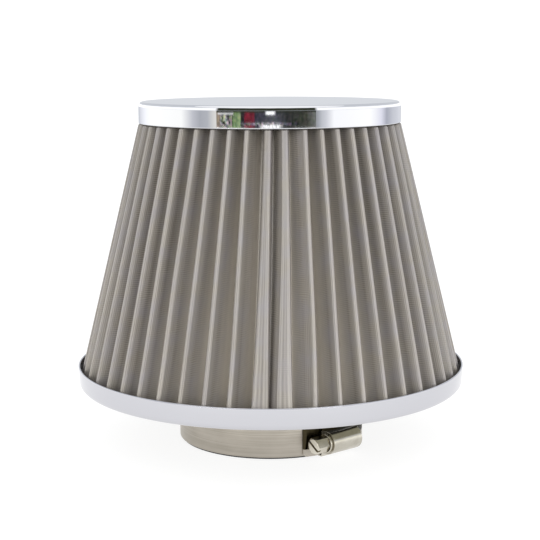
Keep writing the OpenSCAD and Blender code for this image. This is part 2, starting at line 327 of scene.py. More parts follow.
@dataclass(frozen=True)
class WorkedSteel(Finish):
    """Bare steel with a worked surface: the lay of its grain shows as fine lines in tint and gloss.

    Where a piece has the attribute "fold", as on a slotted patch or a part in the shade under the pan, its
    colour is mixed towards a dark painted shade.
    """

    bright: str
    dull: str
    lay: Lay
    roughness: tuple[float, float]
    anisotropy: float = 0.0
    grain_depth_mm: float = 0.012
    stain_mm: tuple[float, float, float] = (14.0, 14.0, 6.0)
    stain_share: float = 0.4
    # Colour of the painted shade that stands in for the shade under the pan and the clamp's head.
    painted_shade: str = "#3E3829"

    def shader(self, tree: Tree) -> Socket:
        """Grain and stain in tint and gloss, under the painted shade.

        Args:
            tree: the tree that gets the nodes.

        Returns:
            The shader's output.
        """
        worked = grain(tree, self.lay.value, 3.0)
        stain = grain(tree, self.stain_mm, 3.0)
        both = add(tree, "Mix", {0: self.stain_share, 2: worked, 3: stain})
        colour = add(tree, "ValToRGB", {0: both}, ((0.36, self.dull), (0.62, self.bright)))
        # Painted shade: the colour is mixed towards the dark shade colour where the attribute "fold" is set.
        painted_shade_mask = add(tree, "Attribute", out="Fac", attribute_name="fold")
        painted_shade_mix = {0: painted_shade_mask, 6: colour, 7: linear(self.painted_shade)}
        relief = {"Height": worked, "Distance": self.grain_depth_mm * MM, "Strength": 1.0}
        low, high = self.roughness
        return add(tree, "BsdfPrincipled", {
            "Base Color": add(tree, "Mix", painted_shade_mix, out=2, data_type="RGBA"),
            "Metallic": 1.0,
            "Anisotropic": self.anisotropy,
            "Roughness": add(tree, "MapRange", {"Value": both, "To Min": low, "To Max": high}),
            "Normal": add(tree, "Bump", relief),
        })


@dataclass(frozen=True)
class CastElastomer(Finish):
    """Poured or moulded rubbery plastic: near black, a dull sheen, and a fine pebbled skin."""

    light: str
    dark: str
    pebble_mm: float = 0.6
    bloom_mm: float = 18.0
    depth_mm: float = 0.05
    roughness: tuple[float, float] = (0.5, 0.75)

    def shader(self, tree: Tree) -> Socket:
        """Pebbles under a bloom that varies tint and sheen.

        Args:
            tree: the tree that gets the nodes.

        Returns:
            The shader's output.
        """
        pebbles = grain(tree, (self.pebble_mm,) * 3, 2.0)
        bloom = grain(tree, (self.bloom_mm,) * 3, 3.0)
        low, high = self.roughness
        return add(tree, "BsdfPrincipled", {
            "Base Color": add(tree, "ValToRGB", {0: bloom}, ((0.35, self.dark), (0.7, self.light))),
            "Roughness": add(tree, "MapRange", {"Value": bloom, "To Min": low, "To Max": high}),
            "Normal": add(tree, "Bump", {"Height": pebbles, "Distance": self.depth_mm * MM, "Strength": 1.0}),
        })


@dataclass(frozen=True)
class PaintedBoard(Finish):
    """Matt painted board with a glow of its own, which keeps the shade on it faint."""

    paint: str = "#7A7A7A"
    roughness: float = 0.9
    glow: float = 0.85

    def shader(self, tree: Tree) -> Socket:
        """A matt grey that glows white.

        Args:
            tree: the tree that gets the nodes.

        Returns:
            The shader's output.
        """
        return add(tree, "BsdfPrincipled", {
            "Base Color": linear(self.paint),
            "Roughness": self.roughness,
            "Emission Color": linear("#FFFFFF"),
            "Emission Strength": self.glow,
        })


@dataclass(frozen=True)
class ReflectionCard(Finish):
    """A curved card of soft light round the filter, which only polished metal sees.

    Attributes:
        name: its name.
        azimuth: angles of its two edges from the front, in degrees.
        foot: radius and height of its lower edge.
        top: radius and height of its upper edge.
        shades: one hex colour, or several across it, each at its angle.
        strength: radiance of a white spot.
        spots: how strongly the light comes and goes in spots: at a third the faintest spots are black.
        spot_mm: width and height of a spot.
    """

    name: str
    azimuth: tuple[float, float]
    foot: tuple[float, float]
    top: tuple[float, float]
    shades: str | tuple[tuple[float, str], ...]
    strength: float = 1.0
    spots: float = 0.0
    spot_mm: tuple[float, float] = (30.0, 4.0)

    def shader(self, tree: Tree) -> Socket:
        """The card's light, on its map of angle and height.

        Args:
            tree: the tree that gets the nodes.

        Returns:
            The light's output.
        """
        place = add(tree, "UVMap", uv_map="cloth")
        first, last = self.azimuth
        even = ((first, self.shades), (last, self.shades))
        shades = even if isinstance(self.shades, str) else self.shades
        stops = [((at - first) / (last - first), tint) for at, tint in shades]
        shade = add(tree, "ValToRGB", {0: add(tree, "SeparateXYZ", {0: place})}, stops)
        size = (math.radians(last - first) * self.foot[0], math.dist(self.foot, self.top))
        scale = (size[0] / self.spot_mm[0], size[1] / self.spot_mm[1], 1.0)
        stretched = add(tree, "Mapping", {"Vector": place, "Scale": scale})
        noise = add(tree, "TexNoise", {"Vector": stretched, "Scale": 1.0, "Detail": 2.0})
        low, high = self.strength * (1 - 3 * self.spots), self.strength * (1 + 3 * self.spots)
        level = add(tree, "MapRange", {"Value": noise, "To Min": low, "To Max": high})
        specks = {0: self.spots, 6: shade, 7: noise.node.outputs[1]}
        tinted = add(tree, "Mix", specks, out=2, data_type="RGBA", blend_type="OVERLAY")
        lit = add(tree, "Math", {0: level, 1: 0.0}, operation="MAXIMUM")
        return add(tree, "Emission", {"Color": tinted, "Strength": lit})

    def build(self) -> None:
        """Makes the card: a straight line from foot to top, turned from its first angle to its last."""
        across, upwards = 49, 9
        u, v = np.meshgrid(np.linspace(0, 1, across), np.linspace(0, 1, upwards), indexing="ij")
        a = np.radians(self.azimuth[0] + (self.azimuth[1] - self.azimuth[0]) * u)
        radius = self.foot[0] + (self.top[0] - self.foot[0]) * v
        up = self.foot[1] + (self.top[1] - self.foot[1]) * v
        points = np.stack([radius * np.sin(a), -radius * np.cos(a), up], axis=-1)
        faces = grid_faces(across, upwards)
        uv = np.stack([u.ravel(), v.ravel()], axis=-1)[faces]
        card = mesh_object(self.name, points, [faces], uv)
        card.data.materials.append(self.material(self.name))
        card.visible_camera = card.visible_diffuse = card.visible_shadow = card.visible_transmission = False


# Meshes


def grid_faces(rows: int, columns: int, wrap_rows: bool = False, wrap_columns: bool = False) -> Faces:
    """Quads between the points of a grid that is stored row by row.

    Args:
        rows: points along the first parameter.
        columns: points along the second.
        wrap_rows: join the last row to the first.
        wrap_columns: join the last column to the first.

    Returns:
        Quads as an array of four columns.
    """
    steps, strides = rows - (not wrap_rows), columns - (not wrap_columns)
    i, j = np.meshgrid(np.arange(steps), np.arange(strides), indexing="ij")
    up, on = (i + 1) % rows, (j + 1) % columns
    corners = [i * columns + j, i * columns + on, up * columns + on, up * columns + j]
    return np.stack(corners, axis=-1).reshape(-1, 4)


def mesh_object(
    name: str,
    points: Array,
    faces: Sequence[Faces],
    uv: Array | None = None,
    fold: Array | None = None,
    sharp_deg: float = 35.0,
) -> Piece:
    """Puts arrays of points and faces into a new object with its faces outwards.

    Args:
        name: the piece's name.
        points: places in millimetres, with three in the last axis.
        faces: face arrays, each with as many columns as its faces have corners.
        uv: the map at each corner of the faces, in their order.
        fold: depth in a fold, or share of painted shade, at each point.
        sharp_deg: edges that bend more than this stay sharp.

    Returns:
        The object, linked to the scene.
    """
    mesh = bpy.data.meshes.new(name)
    polygons = [corners for part in faces for corners in part.tolist()]
    mesh.from_pydata(points.reshape(-1, 3) * MM, [], polygons)
    mesh.shade_smooth()
    if uv is not None:
        mesh.uv_layers.new(name="cloth").data.foreach_set("uv", uv.astype(np.float32).ravel())
    if fold is not None:
        layer = mesh.attributes.new("fold", "FLOAT", "POINT")
        layer.data.foreach_set("value", fold.astype(np.float32).ravel())
    merged = bmesh.new()
    merged.from_mesh(mesh)
    bmesh.ops.remove_doubles(merged, verts=merged.verts, dist=MERGE_M)
    bmesh.ops.dissolve_degenerate(merged, edges=merged.edges, dist=MERGE_M)
    if merged.calc_volume(signed=True) < 0:
        bmesh.ops.reverse_faces(merged, faces=merged.faces)
    merged.to_mesh(mesh)
    merged.free()
    mesh.set_sharp_from_angle(angle=math.radians(sharp_deg))
    piece = bpy.data.objects.new(name, mesh)
    bpy.context.scene.collection.objects.link(piece)
    return piece


def arc(centre: tuple[float, float], radius: float, start_deg: float, end_deg: float, steps: int) -> Array:
    """Points on a circle: its centre plus its radius times the cosine and sine of evenly stepped angles.

    Args:
        centre: the circle's middle.
        radius: its radius.
        start_deg: angle of the first point.
        end_deg: angle of the last.
        steps: steps from first to last.

    Returns:
        One row a point.
    """
    a = np.radians(np.linspace(start_deg, end_deg, steps + 1))
    return np.column_stack([centre[0] + radius * np.cos(a), centre[1] + radius * np.sin(a)])


def thickened(path: Array, thickness: float) -> Array:
    """Closed outline of a sheet: its middle line moved half a thickness to one side, and back on the other.

    Args:
        path: points along the sheet's middle.
        thickness: the sheet's thickness.

    Returns:
        Points round the outline.
    """
    along = np.gradient(path, axis=0)
    along /= np.linalg.norm(along, axis=1)[:, None]
    normal = np.column_stack([-along[:, 1], along[:, 0]]) * thickness / 2
    return np.concatenate([path + normal, (path - normal)[::-1]])


def revolve(name: str, profile: Array, segments: int = 256, closed: bool = True) -> Piece:
    """Turns a profile of radius and height round the Z axis.

    A point is at radius times the sine and minus the cosine of the angle, at the profile's height.

    Args:
        name: the piece's name.
        profile: radius and height, one row a point.
        segments: steps round the axis.
        closed: whether the profile's last point joins its first.

    Returns:
        The piece.
    """
    a = np.linspace(0, TURN, segments, endpoint=False)[:, None]
    r, z = profile[None, :, 0], profile[None, :, 1]
    points = np.stack([r * np.sin(a), -r * np.cos(a), z + 0 * a], axis=-1)
    return mesh_object(name, points, [grid_faces(segments, len(profile), True, closed)])


def extruded(name: str, stations: Array, fold: Array | None = None) -> Piece:
    """Joins a closed outline from station to station and closes both ends.

    Args:
        name: the piece's name.
        stations: for each station, the places of the outline's points.
        fold: the attribute of each point, or none.

    Returns:
        The piece.
    """
    stops, count = stations.shape[:2]
    ends = np.stack([np.arange(count)[::-1], np.arange(count) + (stops - 1) * count])
    return mesh_object(name, stations, [grid_faces(stops, count, False, True), ends], fold=fold)


def cut_plate(name: str, front: Array, back: Array, keep: npt.NDArray[np.bool_], fold: Array) -> Piece:
    """A sheet with openings: the kept cells of two facing grids, and walls along every edge of these.

    Args:
        name: the piece's name.
        front: grid of places on one face.
        back: the same grid on the other face.
        keep: which cells between the grid's points are metal.
        fold: the attribute at each of the grid's points.

    Returns:
        The piece.
    """
    rows, columns = front.shape[:2]
    count = rows * columns
    cells = grid_faces(rows, columns)[keep.ravel()]
    points = np.concatenate([front.reshape(-1, 3), back.reshape(-1, 3)])
    padded = np.pad(keep, 1).astype(int)
    number = np.arange(count).reshape(rows, columns)
    edges = (
        (np.diff(padded, axis=0)[:, 1:-1], number[:, :-1], number[:, 1:]),
        (-np.diff(padded, axis=1)[1:-1], number[:-1], number[1:]),
    )
    walls = []
    for edge, start, end in edges:
        for sign in (1, -1):
            a, b = start[edge == sign], end[edge == sign]
            walls.append(np.stack([b, a, a + count, b + count], axis=-1)[:, ::sign])
    used = np.unique(np.concatenate([cells.ravel(), cells.ravel() + count]))
    order = np.full(2 * count, -1)
    order[used] = np.arange(len(used))
    faces = np.concatenate([cells, cells[:, ::-1] + count, *walls])
    return mesh_object(name, points[used], [order[faces]], fold=np.tile(fold.ravel(), 2)[used])


def soften(piece: Piece, width_mm: float, angle_deg: float) -> None:
    """Rounds a piece's edges with a bevel of two steps.

    Args:
        piece: the piece.
        width_mm: width of the bevel.
        angle_deg: an edge that bends less is left.
    """
    bevel = piece.modifiers.new("soft_edges", "BEVEL")
    bevel.width, bevel.segments, bevel.limit_method = width_mm * MM, 2, "ANGLE"
    bevel.angle_limit = math.radians(angle_deg)


def finish(piece: Piece, body: str, material: bpy.types.Material, node: str) -> None:
    """Dresses a piece, hangs it on its body and names the solid that it stands for.

    Args:
        piece: the piece.
        body: the body that it rides on.
        material: its finish.
        node: the solid that it replaces.
    """
    piece.data.materials.clear()
    piece.data.materials.append(material)
    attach(piece, body)
    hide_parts(node)
    log.info("%s: %d faces, stands for %s", piece.name, len(piece.data.polygons), node)


def dress(node: str, material: bpy.types.Material) -> None:
    """Gives a solid that stays as it is its finish.

    Args:
        node: the solid.
        material: its finish.
    """
    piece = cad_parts[node]
    if not piece.material_slots:
        piece.data.materials.append(material)
    for place in piece.material_slots:
        place.material = material
    log.info("%s: solid kept", node)


# The filter's sub-assemblies


@dataclass
class EndCap:
    """Pressed cap over the cone's narrow end, with the cast disc inside it."""

    radius: float = 58.0
    top: float = 152.0
    height: float = 9.4
    sheet: float = 0.8
    edge_r: float = 2.0
    curl_r: float = 0.4

    def profile(self) -> Array:
        """Half section: flat top, pressed edge, skirt with a rounded lower rim, and back along the inside.

        A point close beside each rounding keeps the flat stretches mirror-flat to the light.

        Returns:
            Radius and height of each point.
        """
        foot = self.top - self.height
        centre = (self.radius - self.edge_r, self.top - self.edge_r)
        near = 0.05
        across = np.linspace(0, centre[0] - near, 12)
        down = np.append(np.linspace(centre[1] - near, foot + self.curl_r + near, 6), foot + self.curl_r)
        return np.concatenate([
            np.column_stack([across, np.full_like(across, self.top)]),
            arc(centre, self.edge_r, 90, 0, 12),
            np.column_stack([np.full_like(down, self.radius), down]),
            arc((self.radius - self.curl_r, foot + self.curl_r), self.curl_r, 0, -180, 8)[1:],
            arc(centre, self.edge_r - self.sheet, 0, 90, 8),
            [(0.0, self.top - self.sheet)],
        ])

    def build(self, plate: ChromePlate, seal: CastElastomer) -> None:
        """Makes the cap and dresses the disc.

        Args:
            plate: finish of the cap.
            seal: finish of the cast disc.
        """
        cap = revolve("cap_shell", self.profile(), 320, closed=False)
        finish(cap, FILTER, plate.material("chrome_plate_cap"), "cap")
        dress("cap_seal", seal.material("cast_cap_seal"))


@dataclass
class PleatedPack:
    """Pleated wire cloth and gauze between the base pan and the cap.

    Beside the seam, valley_share gives a valley's number and where it lies between its crests, and
    valley_depth its number and its depth at the foot and at the top. The first two are shallower, as the ends
    of the pack pull them open. Each lean is a size, an angle and a width in degrees.
    """

    count: int = 50
    depth: float = 15.0
    crest_bend: float = 1.15
    valley_bend: float = 0.3
    cloth: float = 0.25
    gauze: float = 0.44
    gap: float = 0.03
    seam_angle: float = 0.3
    seam_pitch: float = 6.7
    seam_gap: float = 8.4
    seam_half: tuple[float, float] = (2.4, 1.43)
    seam_dish: float = 0.3
    valley_share: tuple[tuple[int, float], ...] = (
        (0, 0.36), (1, 0.32), (-1, 0.64), (-2, 0.62), (-3, 0.6), (-4, 0.56),
    )
    valley_depth: tuple[tuple[int, float, float], ...] = ((0, 5.5, 10.0), (1, 11.0, 8.5))
    foot: float = 31.0
    top: float = 142.6
    lip: float = 35.0
    lip_crest: float = 84.7
    cap_crest: float = 58.0
    top_crest: float = 56.9
    gather: float = 0.7
    bow: float = 0.25
    sway_deg: float = 0.14
    leans: tuple[tuple[float, float, float], ...] = (
        (2.3, -36.0, 6.0), (1.7, 52.0, 6.0), (-4.0, 120.0, 12.0),
    )
    seed: int = 11

    def crest_radius(self, z: Array) -> Array:
        """Crest radius: a straight line to the cap, gathered in by a smooth step just under it.

        Args:
            z: heights.

        Returns:
            A radius for each height.
        """
        slope = (self.lip_crest - self.cap_crest) / (self.top - self.lip)
        t = np.clip((z - self.top + self.gather) / self.gather, 0, 1)
        step = (self.top_crest - self.cap_crest) * t * t * (3 - 2 * t)
        return self.lip_crest + slope * (self.lip - z) + step

    def crest_angles(self, z: Array) -> Array:
        """Crest angles: even steps beside a wider seam, each pleat's sway, and a lean that grows with height.

        The lean is a sum of smooth steps round the cone.

        Args:
            z: heights.

        Returns:
            Radians, one row a height and one column a crest.
        """
        pitch = (360 - self.seam_pitch - 2 * self.seam_gap) / (self.count - 3)
        common = self.seam_pitch / 2 + self.seam_gap + np.arange(self.count - 2) * pitch
        even = self.seam_angle + np.concatenate([[-self.seam_pitch / 2, self.seam_pitch / 2], common])
        draw = np.random.default_rng(self.seed)
        size = draw.normal(0, self.sway_deg, self.count)
        phase, turns = draw.uniform(0, TURN, self.count), draw.uniform(0.4, 1.1, self.count)
        share = ((z - self.foot) / (self.top - self.foot))[:, None]
        held = np.sin(math.pi * np.clip(share, 0, 1)) ** 0.5
        off = np.mod(even + 180, 360) - 180
        lean = sum(step / (1 + np.exp((middle - off) / width)) for step, middle, width in self.leans)
        return np.radians(even[None, :] + lean * share + held * size * np.sin(phase + TURN * turns * share))

    def ring(self, z: Array, t: float) -> Array:
        """Points round the pack at heights z, t deep into it.

        A point is at its pleat's angle, a distance along that radius and a step to the side. Crests and
        valleys are half circles, and flanks are straight lines between them with a shallow bow. The seam's
        two crests are parted by a flat that is dished in its middle and widens downwards by the square of the
        share of height.

        Args:
            z: heights.
            t: depth below the pack's outer face.

        Returns:
            An array of heights by points by three.
        """
        rc = self.crest_radius(z)[:, None, None]
        angle = self.crest_angles(z)
        pack = 2 * self.cloth + self.gauze + 2 * self.gap
        phi = np.radians(np.linspace(-90, 90, 9))[None, None, :]
        wide = np.zeros((1, self.count, 1))
        wide[0, :2, 0] = 1
        share = ((self.top - z) / (self.top - self.foot))[:, None, None]
        half = self.seam_half[1] + (self.seam_half[0] - self.seam_half[1]) * share**2
        flat = wide * (rc * np.tan(np.radians(half)) - self.crest_bend)
        bend = self.crest_bend - t
        side = np.sign(np.round(phi, 6))
        dish = self.seam_dish * wide * (1 - np.abs(side))
        out = rc - self.crest_bend + bend * np.cos(phi) - dish
        crest = self.placed(angle, out, bend * np.sin(phi) + side * flat)
        following = np.concatenate([angle[:, 1:], angle[:, :1] + TURN], axis=1)
        along = np.full(self.count, 0.5)
        for number, lies in self.valley_share:
            along[number] = lies
        deep = np.full((len(z), self.count, 1), self.depth)
        for number, low, high in self.valley_depth:
            deep[:, number] = (low * share + high * (1 - share))[:, 0]
        psi = np.radians(np.linspace(-90, 90, 5))[None, None, :]
        fold = self.valley_bend + t
        floor = rc - deep + pack + self.valley_bend
        between = angle + along * (following - angle)
        valley = self.placed(between, floor - fold * np.cos(psi), fold * np.sin(psi) + 0 * floor)
        inwards = self.flank(crest[:, :, -1], valley[:, :, 0])
        outwards = self.flank(valley[:, :, -1], np.roll(crest[:, :, 0], -1, axis=1))
        flatways = np.concatenate([crest, inwards, valley, outwards], axis=2).reshape(len(z), -1, 2)
        up = np.broadcast_to(z[:, None, None], (*flatways.shape[:2], 1))
        return np.concatenate([flatways, up], axis=2)

    @staticmethod
    def placed(angle: Array, radius: Array, side: Array) -> Array:
        """Radius along the direction of an angle plus a step to its side.

        Args:
            angle: direction from the axis.
            radius: distance along it.
            side: step across it.

        Returns:
            X and Y of each point.
        """
        a = angle[:, :, None]
        x, y = radius * np.sin(a) + side * np.cos(a), -radius * np.cos(a) + side * np.sin(a)
        return np.stack([x, y], axis=-1)

    def flank(self, start: Array, end: Array) -> Array:
        """Three points between two lines of points, moved off the straight by a half sine.

        Args:
            start: places at the flank's start.
            end: places at its end.

        Returns:
            The points, in a new axis before the last.
        """
        t = np.array([0.2, 0.5, 0.8])[None, None, :, None]
        along = end - start
        length = np.linalg.norm(along, axis=-1, keepdims=True)
        normal = (np.stack([-along[..., 1], along[..., 0]], axis=-1) / length)[:, :, None]
        return start[:, :, None] + t * along[:, :, None] - self.bow * np.sin(math.pi * t) * normal

    def layer(self, name: str, t_out: float, t_in: float, levels: int) -> Piece:
        """One layer of the pack as a closed shell.

        Args:
            name: the piece's name.
            t_out: depth of its outer face.
            t_in: depth of its inner face.
            levels: heights at which it has points.

        Returns:
            The piece, with a map in metres along the cloth.
        """
        near_top = self.top - self.gather
        z = np.append(np.linspace(self.foot, near_top, levels - 4), np.linspace(near_top, self.top, 5)[1:])
        outer, inner = self.ring(z, t_out), self.ring(z, t_in)
        ring = outer.shape[1]
        out = grid_faces(len(z), ring, False, True)
        back = out[:, ::-1] + len(z) * ring
        j = np.arange(ring)
        on = (j + 1) % ring
        last, under = (len(z) - 1) * ring, len(z) * ring
        foot = np.stack([on, j, j + under, on + under], axis=-1)
        head = np.stack([j, on, on + under, j + under], axis=-1) + last
        middle = outer[len(z) // 2]
        steps = np.linalg.norm(np.roll(middle, -1, axis=0) - middle, axis=1)
        u = np.append(0, np.cumsum(steps)) * MM
        i, k = np.meshgrid(np.arange(len(z) - 1), j, indexing="ij")
        corner_u = np.stack([u[k], u[k + 1], u[k + 1], u[k]], axis=-1)
        corner_v = np.stack([z[i], z[i], z[i + 1], z[i + 1]], axis=-1) * MM
        face = np.stack([corner_u, corner_v], axis=-1).reshape(-1, 4, 2)
        uv = np.concatenate([face, face[:, ::-1], np.zeros((2 * ring, 4, 2))])
        points = np.stack([outer, inner])
        inwards = self.crest_radius(z)[None, :, None] - np.hypot(points[..., 0], points[..., 1])
        fold = np.clip(inwards / (self.depth - 2 * self.cloth - self.gauze), 0, 1)
        return mesh_object(name, points, [out, back, foot, head], uv, fold, 50.0)

    def build(self, cloth: WireCloth, gauze: CottonGauze) -> None:
        """Makes the three layers.

        Args:
            cloth: finish of the two wire cloths.
            gauze: finish of the gauze.
        """
        woven, soft = cloth.material("woven_wire"), gauze.material("oiled_gauze")
        middle = self.cloth + self.gap
        inner = middle + self.gauze + self.gap
        for name, t_out, thickness, levels, slot, material, node in (
            ("pleated_wire_cloth", 0.0, self.cloth, 36, "wire_cloth", woven, "outer_wire_cloth"),
            ("pleated_gauze", middle, self.gauze, 10, "gauze", soft, "filter_medium"),
            ("pleated_inner_cloth", inner, self.cloth, 10, "wire_cloth", woven, "inner_wire_cloth"),
        ):
            finish(self.layer(name, t_out, t_out + thickness, levels), FILTER, material, node)


@dataclass
class SupportCone:
    """Cone with diamond openings inside the pleats, kept as its solid."""

    def build(self, sheet: WorkedSteel) -> None:
        """Dresses the cone with its sheet's finish."""
        dress("support_cone", sheet.material("galvanised_sheet"))


@dataclass
class BasePan:
    """Pressed pan with a rolled lip, and the cast ring in it."""

    radius: float = 87.0
    foot: float = 25.6
    height: float = 9.4
    sheet: float = 0.8
    corner_r: float = 2.5
    draft: float = 0.3
    hole_r: float = 41.15

    def profile(self) -> Array:
        """Half section: floor, corner, wall leaning out by the draft, rolled lip, and back to the hole.

        Returns:
            Radius and height of each point.
        """
        lip = self.foot + self.height
        centre = (self.radius - self.draft - self.corner_r, self.foot + self.corner_r)
        lip_r = self.sheet / 2
        return np.concatenate([
            np.column_stack([np.linspace(self.hole_r, centre[0], 10)[:-1], np.full(9, self.foot)]),
            arc(centre, self.corner_r, -90, 0, 10),
            arc((self.radius - lip_r, lip - lip_r), lip_r, 0, 180, 10),
            arc(centre, self.corner_r - self.sheet, 0, -90, 8),
            [(self.hole_r, self.foot + self.sheet)],
        ])

    def build(self, plate: ChromePlate, seal: CastElastomer) -> None:
        """Makes the pan and dresses the cast ring.

        Args:
            plate: finish of the pan.
            seal: finish of the cast ring.
        """
        pan = revolve("base_pan_shell", self.profile(), 384)
        finish(pan, FILTER, plate.material("chrome_plate_pan"), "base_pan")
        dress("base_seal", seal.material("cast_base_seal"))


@dataclass
class Neck:
    """Moulded rubber neck with its flange on the pan's floor."""

    bore_r: float = 38.0
    wall: float = 3.0
    floor: float = 26.4
    flange_w: float = 11.0
    flange_t: float = 2.2
    bevel: float = 0.8

    def profile(self) -> Array:
        """Half section: lower rim with rounded edges, wall, flange, and the bore.

        Returns:
            Radius and height of each point.
        """
        outer = self.bore_r + self.wall
        top = self.floor + self.flange_t
        r = self.bevel / 2
        return np.concatenate([
            arc((self.bore_r + r + r / 2, r), r, 180, 270, 5),
            arc((outer - r, r), r, -90, 0, 5),
            [(outer, self.floor), (outer + self.flange_w, self.floor)],
            arc((outer + self.flange_w - r, top - r), r, 0, 90, 4),
            arc((self.bore_r + self.bevel, top - self.bevel), self.bevel, 90, 180, 5),
            [(self.bore_r, self.bevel * 2)],
        ])

    def build(self, rubber: CastElastomer) -> None:
        """Makes the neck in its rubber."""
        neck = revolve("neck_moulding", self.profile(), 256)
        finish(neck, FILTER, rubber.material("moulded_rubber"), "neck")


@dataclass
class WormClamp:
    """Worm-drive clamp round the neck: slotted band, folded housing and screw."""

    angle: float = 40.5
    band_r: float = 41.05
    band_t: float = 0.65
    band_w: float = 12.7
    band_z: float = 0.8
    tail_lift: float = 1.2
    tail_lift_angle: float = 80.0
    tail_angle: float = 25.0
    fixed_end_angle: float = 8.0
    slot_start: float = 4.5
    slot_pitch: float = 2.8
    slot_w: float = 1.1
    slot_l: float = 6.0
    slot_slant: float = 7.0
    tip_bevel: float = 0.9
    tip_dip: float = 0.8
    tip_angle: float = 5.1
    core_r: float = 3.6
    core_gap: float = 0.3
    journal_r: float = 2.9
    collar_r: float = 4.2
    collar_t: float = 1.2
    head_af: float = 6.4
    head_l: float = 6.6
    head_turn: float = 4.0
    drive_slot_w: float = 1.1
    drive_slot_depth: float = 1.8
    housing_l: float = 16.4
    leg_l: float = 12.0
    barrel_r: float = 5.1
    housing_t: float = 0.6
    end_wall_t: float = 1.0
    shoulder_gap: float = 0.1
    leg_gap: float = 0.05
    neck_r: float = 41.0
    fold_r: float = 0.4
    hole_gap: float = 0.05
    hole_bevel: float = 0.12
    sheet_edge: tuple[float, float] = (0.14, 50.0)
    head_edge: tuple[float, float] = (0.1, 40.0)
    head_face: float = 0.93
    head_chamfer: float = 28.0
    rim_r: float = 0.3
    dish: float = 0.45
    thread_h: float = 0.24
    mid_z: float = field(init=False)
    deck_r: float = field(init=False)
    screw_r: float = field(init=False)

    def __post_init__(self) -> None:
        """Works out the screw's place over the band's free end."""
        self.mid_z = self.band_z + self.band_w / 2
        lowered = self.tail_lift * math.cos(math.radians(self.tail_lift_angle))
        self.deck_r = self.band_r + self.tail_lift + self.band_t - lowered + self.core_gap
        self.screw_r = self.deck_r + self.core_r

    def turned(self, points: Array) -> Array:
        """Turns points from the front to the clamp's place round the neck."""
        c, s = math.cos(math.radians(self.angle)), math.sin(math.radians(self.angle))
        return points @ np.array([[c, s, 0], [-s, c, 0], [0, 0, 1]])

    def on_screw(self, along: Array, out: Array, up: Array) -> Array:
        """Places points along the screw, out from its axis and up from it, turned to the clamp's place."""
        along, out, up = np.broadcast_arrays(along, out, up)
        return self.turned(np.stack([along, -self.screw_r - out, self.mid_z + up], axis=-1))

    def band_turn(self) -> Piece:
        """The wrapped turn: a flat strip with rounded edges, carried along a circle.

        It starts at the free end's foot, and the stretch that shows through the slots has painted shade.

        Returns:
            The piece.
        """
        r = self.band_t / 3
        half_t, half_w = self.band_t / 2, self.band_w / 2
        corners = ((1, 1, 0), (-1, 1, 90), (-1, -1, 180), (1, -1, 270))
        outline = np.concatenate([
            arc((x * (half_t - r), y * (half_w - r)), r, start, start + 90, 4) for x, y, start in corners
        ])
        a = np.radians(np.linspace(self.tail_lift_angle - 360, self.fixed_end_angle, 300))[:, None]
        radius = self.band_r + half_t + outline[None, :, 0]
        height = self.mid_z + outline[None, :, 1] + 0 * a
        # Painted shade on the stretch that lies under the slotted free end and shows through its slots.
        painted_shade_mask = np.where(a > math.radians(self.slot_start - self.tail_angle), 1.0, 0.0)
        stations = self.turned(np.stack([radius * np.sin(a), -radius * np.cos(a), height], axis=-1))
        return extruded("clamp_band_turn", stations, np.repeat(painted_shade_mask, len(outline)))

    def band_tail(self) -> Piece:
        """The slotted free end: a grid of slanting lines on an arc that lifts off the turn, less the slots.

        Its short plain tip dips back by a smooth step until it lies on the turn. It has painted shade from
        the slots' lower ends to its upper edge, close under the pan, for the shade of the pan and the screw
        head.

        Returns:
            The piece.
        """
        span = self.tail_lift_angle + self.tail_angle
        radius = self.band_r + self.tail_lift
        half_slot = math.degrees(self.slot_w / 2 / radius)
        number = np.arange(1, int((span - 2 * self.slot_start) / self.slot_pitch))
        middle = self.slot_start + number * self.slot_pitch
        slots = np.stack([middle - half_slot, middle + half_slot], axis=-1).ravel()
        before = np.append(self.tip_angle + np.array([0.0, 0.15, 0.35, 0.6]), slots[0] - 0.3)
        s = np.concatenate([before, slots, np.arange(slots[-1] + 1.5, span, 2.0), [span]])
        half, patch = self.band_w / 2, self.slot_l / 2
        t = np.array([patch, patch + 0.3, half - self.tip_bevel, half])
        t = np.append(-t[::-1], t)
        rise = np.clip((s - self.tip_angle) / (slots[0] - self.tip_angle), 0, 1)
        slant = np.degrees(t * math.tan(math.radians(self.slot_slant)) / radius)
        around = s[:, None] + slant[None, :] * (rise * np.clip((span - s) / 3, 0, 1))[:, None]
        tip = np.where(np.abs(t) >= half, self.tip_angle + math.degrees(self.tip_bevel / radius), 0.0)
        around = np.maximum(around, tip[None, :] + 0.05 * np.arange(len(s))[:, None])
        keep = np.ones((len(s) - 1, len(t) - 1), bool)
        keep[len(before) : len(before) + len(slots) : 2, 3] = False
        # Painted shade over the slotted stretch, from the slots' lower ends to the upper edge.
        painted_shade_mask = (s <= slots[-1])[:, None] * (t >= -patch)[None, :].astype(float)
        dip = self.tip_dip * (1 - rise * rise * (3 - 2 * rise))[:, None]
        lift = math.radians(self.tail_lift_angle)
        centre = -self.tail_lift * np.array([math.sin(lift), -math.cos(lift)])
        a = np.radians(around - self.tail_angle)
        z = np.broadcast_to(self.mid_z + t[None, :], a.shape)

        def face(r: float) -> Array:
            """The grid on one face of the strip, at its radius from the arc's own middle."""
            x, y = centre[0] + (r - dip) * np.sin(a), centre[1] - (r - dip) * np.cos(a)
            return self.turned(np.stack([x, y, z], axis=-1))

        return cut_plate("clamp_band_tail", face(radius + self.band_t), face(radius), keep, painted_shade_mask)

